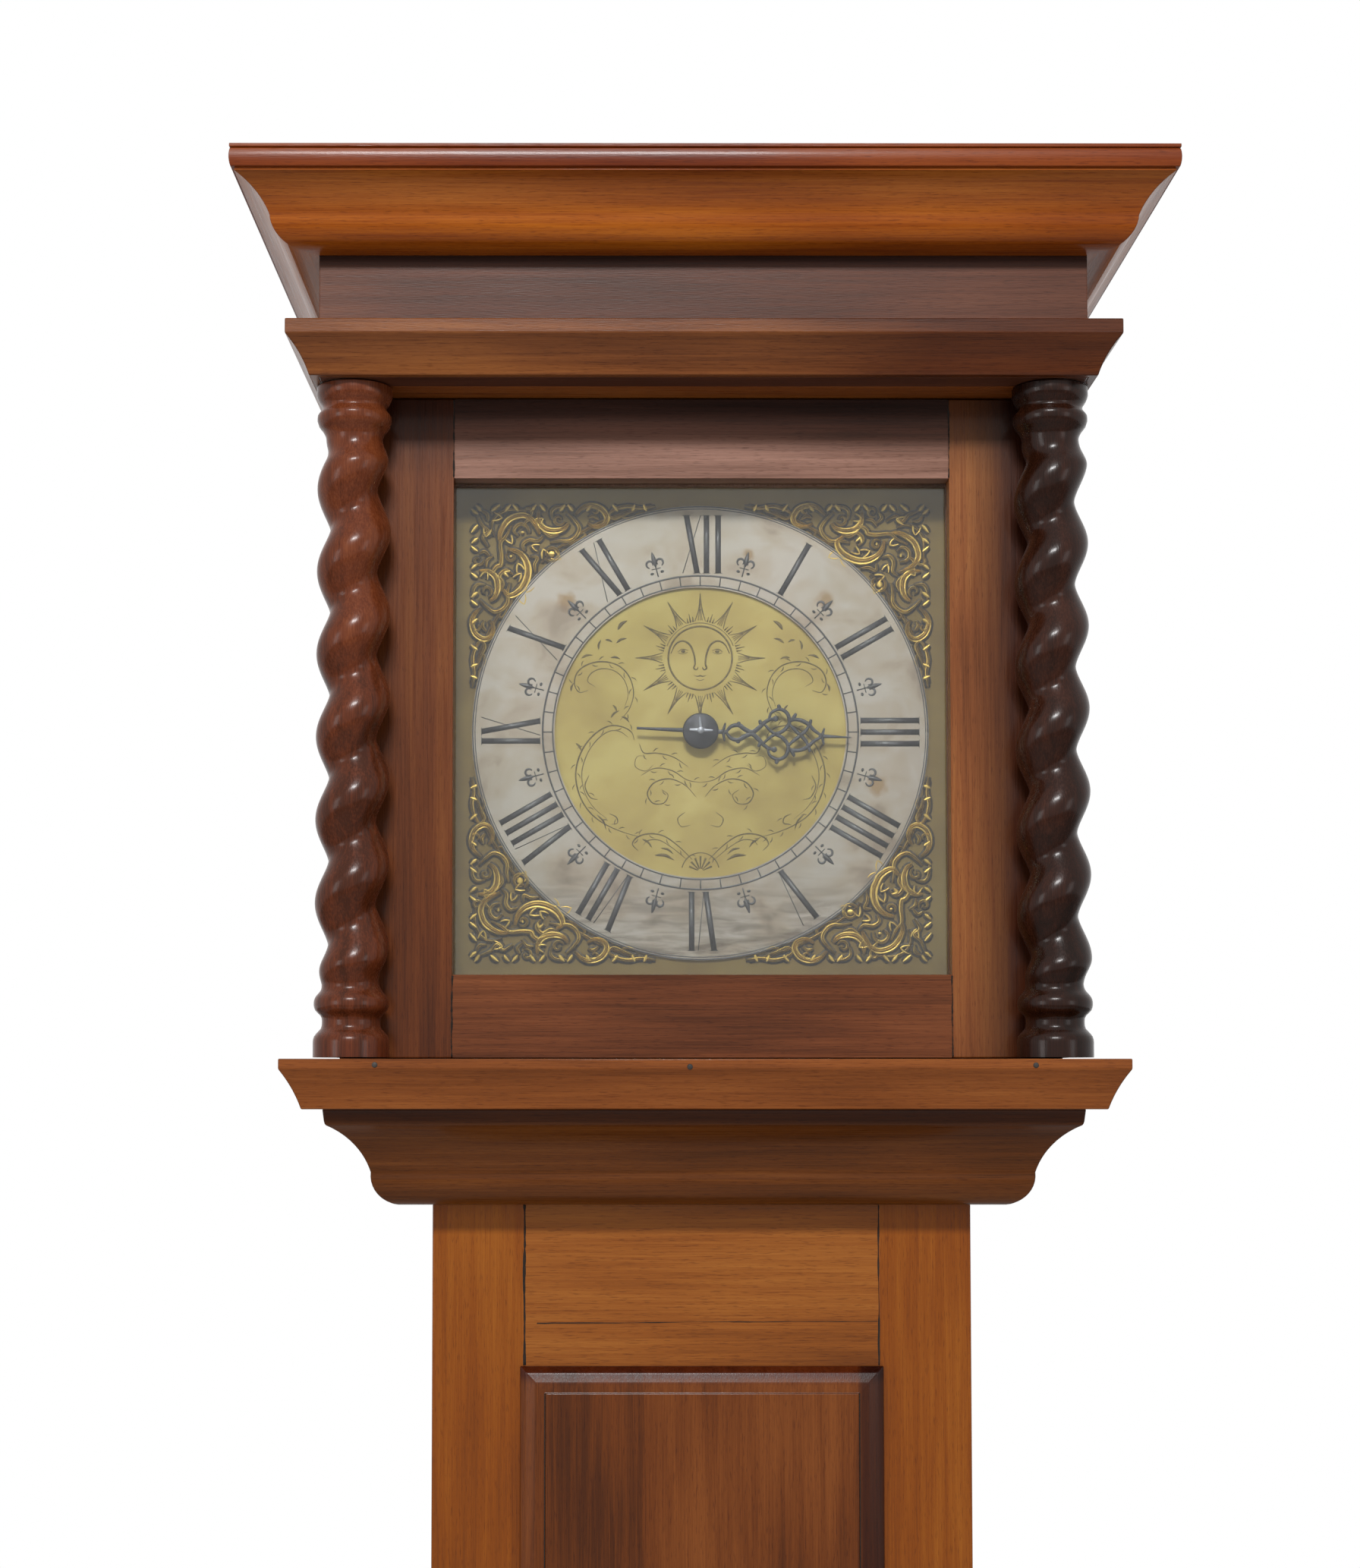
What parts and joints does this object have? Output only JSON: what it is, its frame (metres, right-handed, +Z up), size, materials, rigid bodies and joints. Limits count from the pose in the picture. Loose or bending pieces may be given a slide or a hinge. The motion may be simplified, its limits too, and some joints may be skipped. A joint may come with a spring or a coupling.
{
  "type": "longcase clock",
  "caption": "Tall floor-standing pendulum clock in a wooden case, with a square brass dial, a single hand and barley-twist columns on a lift-off glazed hood.",
  "frame": {"origin": "on the floor, midway across the clock's width and depth", "axes": "+X to the right as seen from the front, -Y to the front, +Z up"},
  "size_m": [0.496, 0.275, 1.98],
  "materials": {
    "case_wood": "waxed, reddish brown",
    "door_wood": "waxed, dark brown",
    "column_wood": "polished, dark reddish brown",
    "carcass_wood": "bare, aged",
    "putty": "matt, painted",
    "glass": "clear, old",
    "brass": "satin, aged",
    "gilt": "cast, lacquered",
    "silvered": "silvered brass, stained",
    "blued_steel": "blued",
    "steel": "filed",
    "iron": "forged, dark",
    "bell_metal": "cast, turned",
    "lead": "cast, dull grey",
    "rope": "laid fibre"
  },
  "bodies": {
    "case": {"backboard": "carcass_wood", "trunk_sides": "case_wood", "trunk_stiles": "case_wood", "trunk_rails": "case_wood", "throat_moulding": "case_wood", "waist_moulding": "case_wood", "base_panels": "case_wood", "glue_blocks": "carcass_wood", "skirting": "case_wood", "seatboard": "carcass_wood", "seatboard_bolts": "iron", "trunk_hinge_case_leaves": "brass", "dial_plate": "brass", "chapter_ring": "silvered", "spandrels": "gilt", "movement_frame": "iron", "movement_bars": "iron", "back_cock": "steel", "bell": "bell_metal", "bell_stand": "steel"},
    "hood": {"hood_sides": "case_wood", "frieze": "case_wood", "hood_boards": "case_wood", "dial_mask": "carcass_wood", "cornice": "case_wood", "frieze_moulding": "case_wood", "ledge_moulding": "case_wood"},
    "hood_door": {"door_stiles": "case_wood", "door_rails": "case_wood", "door_glass": "glass", "glazing_putty": "putty", "door_pivots": "brass", "column_left": "column_wood", "column_right": "column_wood"},
    "trunk_door": {"trunk_door": "door_wood", "trunk_hinge_door_leaves": "brass", "trunk_lock": "iron", "trunk_escutcheon": "brass"},
    "lock_bolt": {"trunk_lock_bolt": "iron"},
    "great_wheel": {"great_wheel": "brass", "going_pulley": "brass"},
    "second_wheel": {"second_wheel": "brass"},
    "escape_wheel": {"escape_wheel": "brass"},
    "hand": {"hour_wheel": "brass", "hour_hand": "blued_steel"},
    "anchor": {"anchor_and_crutch": "steel"},
    "pendulum": {"pendulum_rod": "steel", "pendulum_bob": "brass"},
    "strike_great_wheel": {"strike_great_wheel": "brass"},
    "strike_pulley": {"strike_pulley": "brass"},
    "hoop_wheel": {"hoop_wheel": "brass"},
    "warning_wheel": {"warning_wheel": "brass"},
    "fly": {"fly": "brass"},
    "count_wheel": {"count_wheel": "brass"},
    "hammer": {"hammer": "steel"},
    "weight": {"driving_weight": "lead", "drive_rope": "rope"},
    "weight_pulley": {"weight_pulley": "carcass_wood"},
    "counter_ring": {"counter_ring": "lead"}
  },
  "joints": [
    {"name": "hood_slide", "type": "slide", "parent": "case", "child": "hood", "axis": [0, -1, 0], "range_m": [0, 0.25]},
    {"name": "hood_door_hinge", "type": "hinge", "parent": "hood", "child": "hood_door", "pos_m": [0.194, -0.048, 1.6862], "axis": [0, 0, 1], "range_deg": [0, 105]},
    {"name": "trunk_door_hinge", "type": "hinge", "parent": "case", "child": "trunk_door", "pos_m": [0.1027, -0.041, 0.9375], "axis": [0, 0, 1], "range_deg": [0, 110]},
    {"name": "lock_bolt_slide", "type": "slide", "parent": "trunk_door", "child": "lock_bolt", "axis": [-1, 0, 0], "range_m": [0, 0.007]},
    {"name": "second_spin", "type": "hinge", "parent": "case", "child": "second_wheel", "pos_m": [0, 0.02, 1.68955], "axis": [0, 1, 0], "continuous": true},
    {"name": "great_spin", "type": "hinge", "parent": "case", "child": "great_wheel", "pos_m": [0, 0.02, 1.6477], "axis": [0, 1, 0], "continuous": true},
    {"name": "escape_spin", "type": "hinge", "parent": "case", "child": "escape_wheel", "pos_m": [0, 0.02, 1.72142], "axis": [0, 1, 0], "continuous": true},
    {"name": "hand_spin", "type": "hinge", "parent": "case", "child": "hand", "pos_m": [0, -0.02, 1.6867], "axis": [0, 1, 0], "continuous": true},
    {"name": "pendulum_swing", "type": "hinge", "parent": "case", "child": "pendulum", "pos_m": [0, 0.106, 1.75537], "axis": [0, 1, 0], "range_deg": [-3, 3]},
    {"name": "anchor_rock", "type": "hinge", "parent": "case", "child": "anchor", "pos_m": [0, 0.04, 1.75537], "axis": [0, 1, 0], "range_deg": [-3, 3]},
    {"name": "hoop_spin", "type": "hinge", "parent": "case", "child": "hoop_wheel", "pos_m": [0, 0.066, 1.6845], "axis": [0, 1, 0], "continuous": true},
    {"name": "strike_spin", "type": "hinge", "parent": "case", "child": "strike_great_wheel", "pos_m": [0, 0.066, 1.644], "axis": [0, 1, 0], "continuous": true},
    {"name": "strike_pulley_spin", "type": "hinge", "parent": "strike_great_wheel", "child": "strike_pulley", "pos_m": [0, 0.07, 1.644], "axis": [0, 1, 0], "continuous": true},
    {"name": "warning_spin", "type": "hinge", "parent": "case", "child": "warning_wheel", "pos_m": [0, 0.066, 1.71285], "axis": [0, 1, 0], "continuous": true},
    {"name": "fly_spin", "type": "hinge", "parent": "case", "child": "fly", "pos_m": [0, 0.066, 1.73445], "axis": [0, 1, 0], "continuous": true},
    {"name": "count_spin", "type": "hinge", "parent": "case", "child": "count_wheel", "pos_m": [0, 0.097, 1.6698], "axis": [0, 1, 0], "continuous": true},
    {"name": "hammer_swing", "type": "hinge", "parent": "case", "child": "hammer", "pos_m": [0.044, 0.056, 1.7], "axis": [0, 0, 1], "range_deg": [0, 18]},
    {"name": "weight_fall", "type": "slide", "parent": "case", "child": "weight", "axis": [0, 0, -1], "range_m": [0, 0.9], "deforming": ["drive_rope"]},
    {"name": "weight_pulley_spin", "type": "hinge", "parent": "weight", "child": "weight_pulley", "pos_m": [-0.022, 0.04725, 1.3], "axis": [1, 0, 0], "continuous": true},
    {"name": "counter_ring_rise", "type": "slide", "parent": "case", "child": "counter_ring", "axis": [0, 0, 1], "range_m": [0, 0.9]}
  ],
  "couplings": [
    {"joint": "great_spin", "follows": "second_spin", "ratio": -0.125},
    {"joint": "escape_spin", "follows": "second_spin", "ratio": -7.5},
    {"joint": "hand_spin", "follows": "second_spin", "ratio": 0.010417},
    {"joint": "anchor_rock", "follows": "pendulum_swing", "ratio": 1},
    {"joint": "strike_spin", "follows": "hoop_spin", "ratio": -0.125},
    {"joint": "warning_spin", "follows": "hoop_spin", "ratio": -8},
    {"joint": "fly_spin", "follows": "hoop_spin", "ratio": 56},
    {"joint": "count_spin", "follows": "hoop_spin", "ratio": 0.012821},
    {"joint": "counter_ring_rise", "follows": "weight_fall", "ratio": 1}
  ]
}
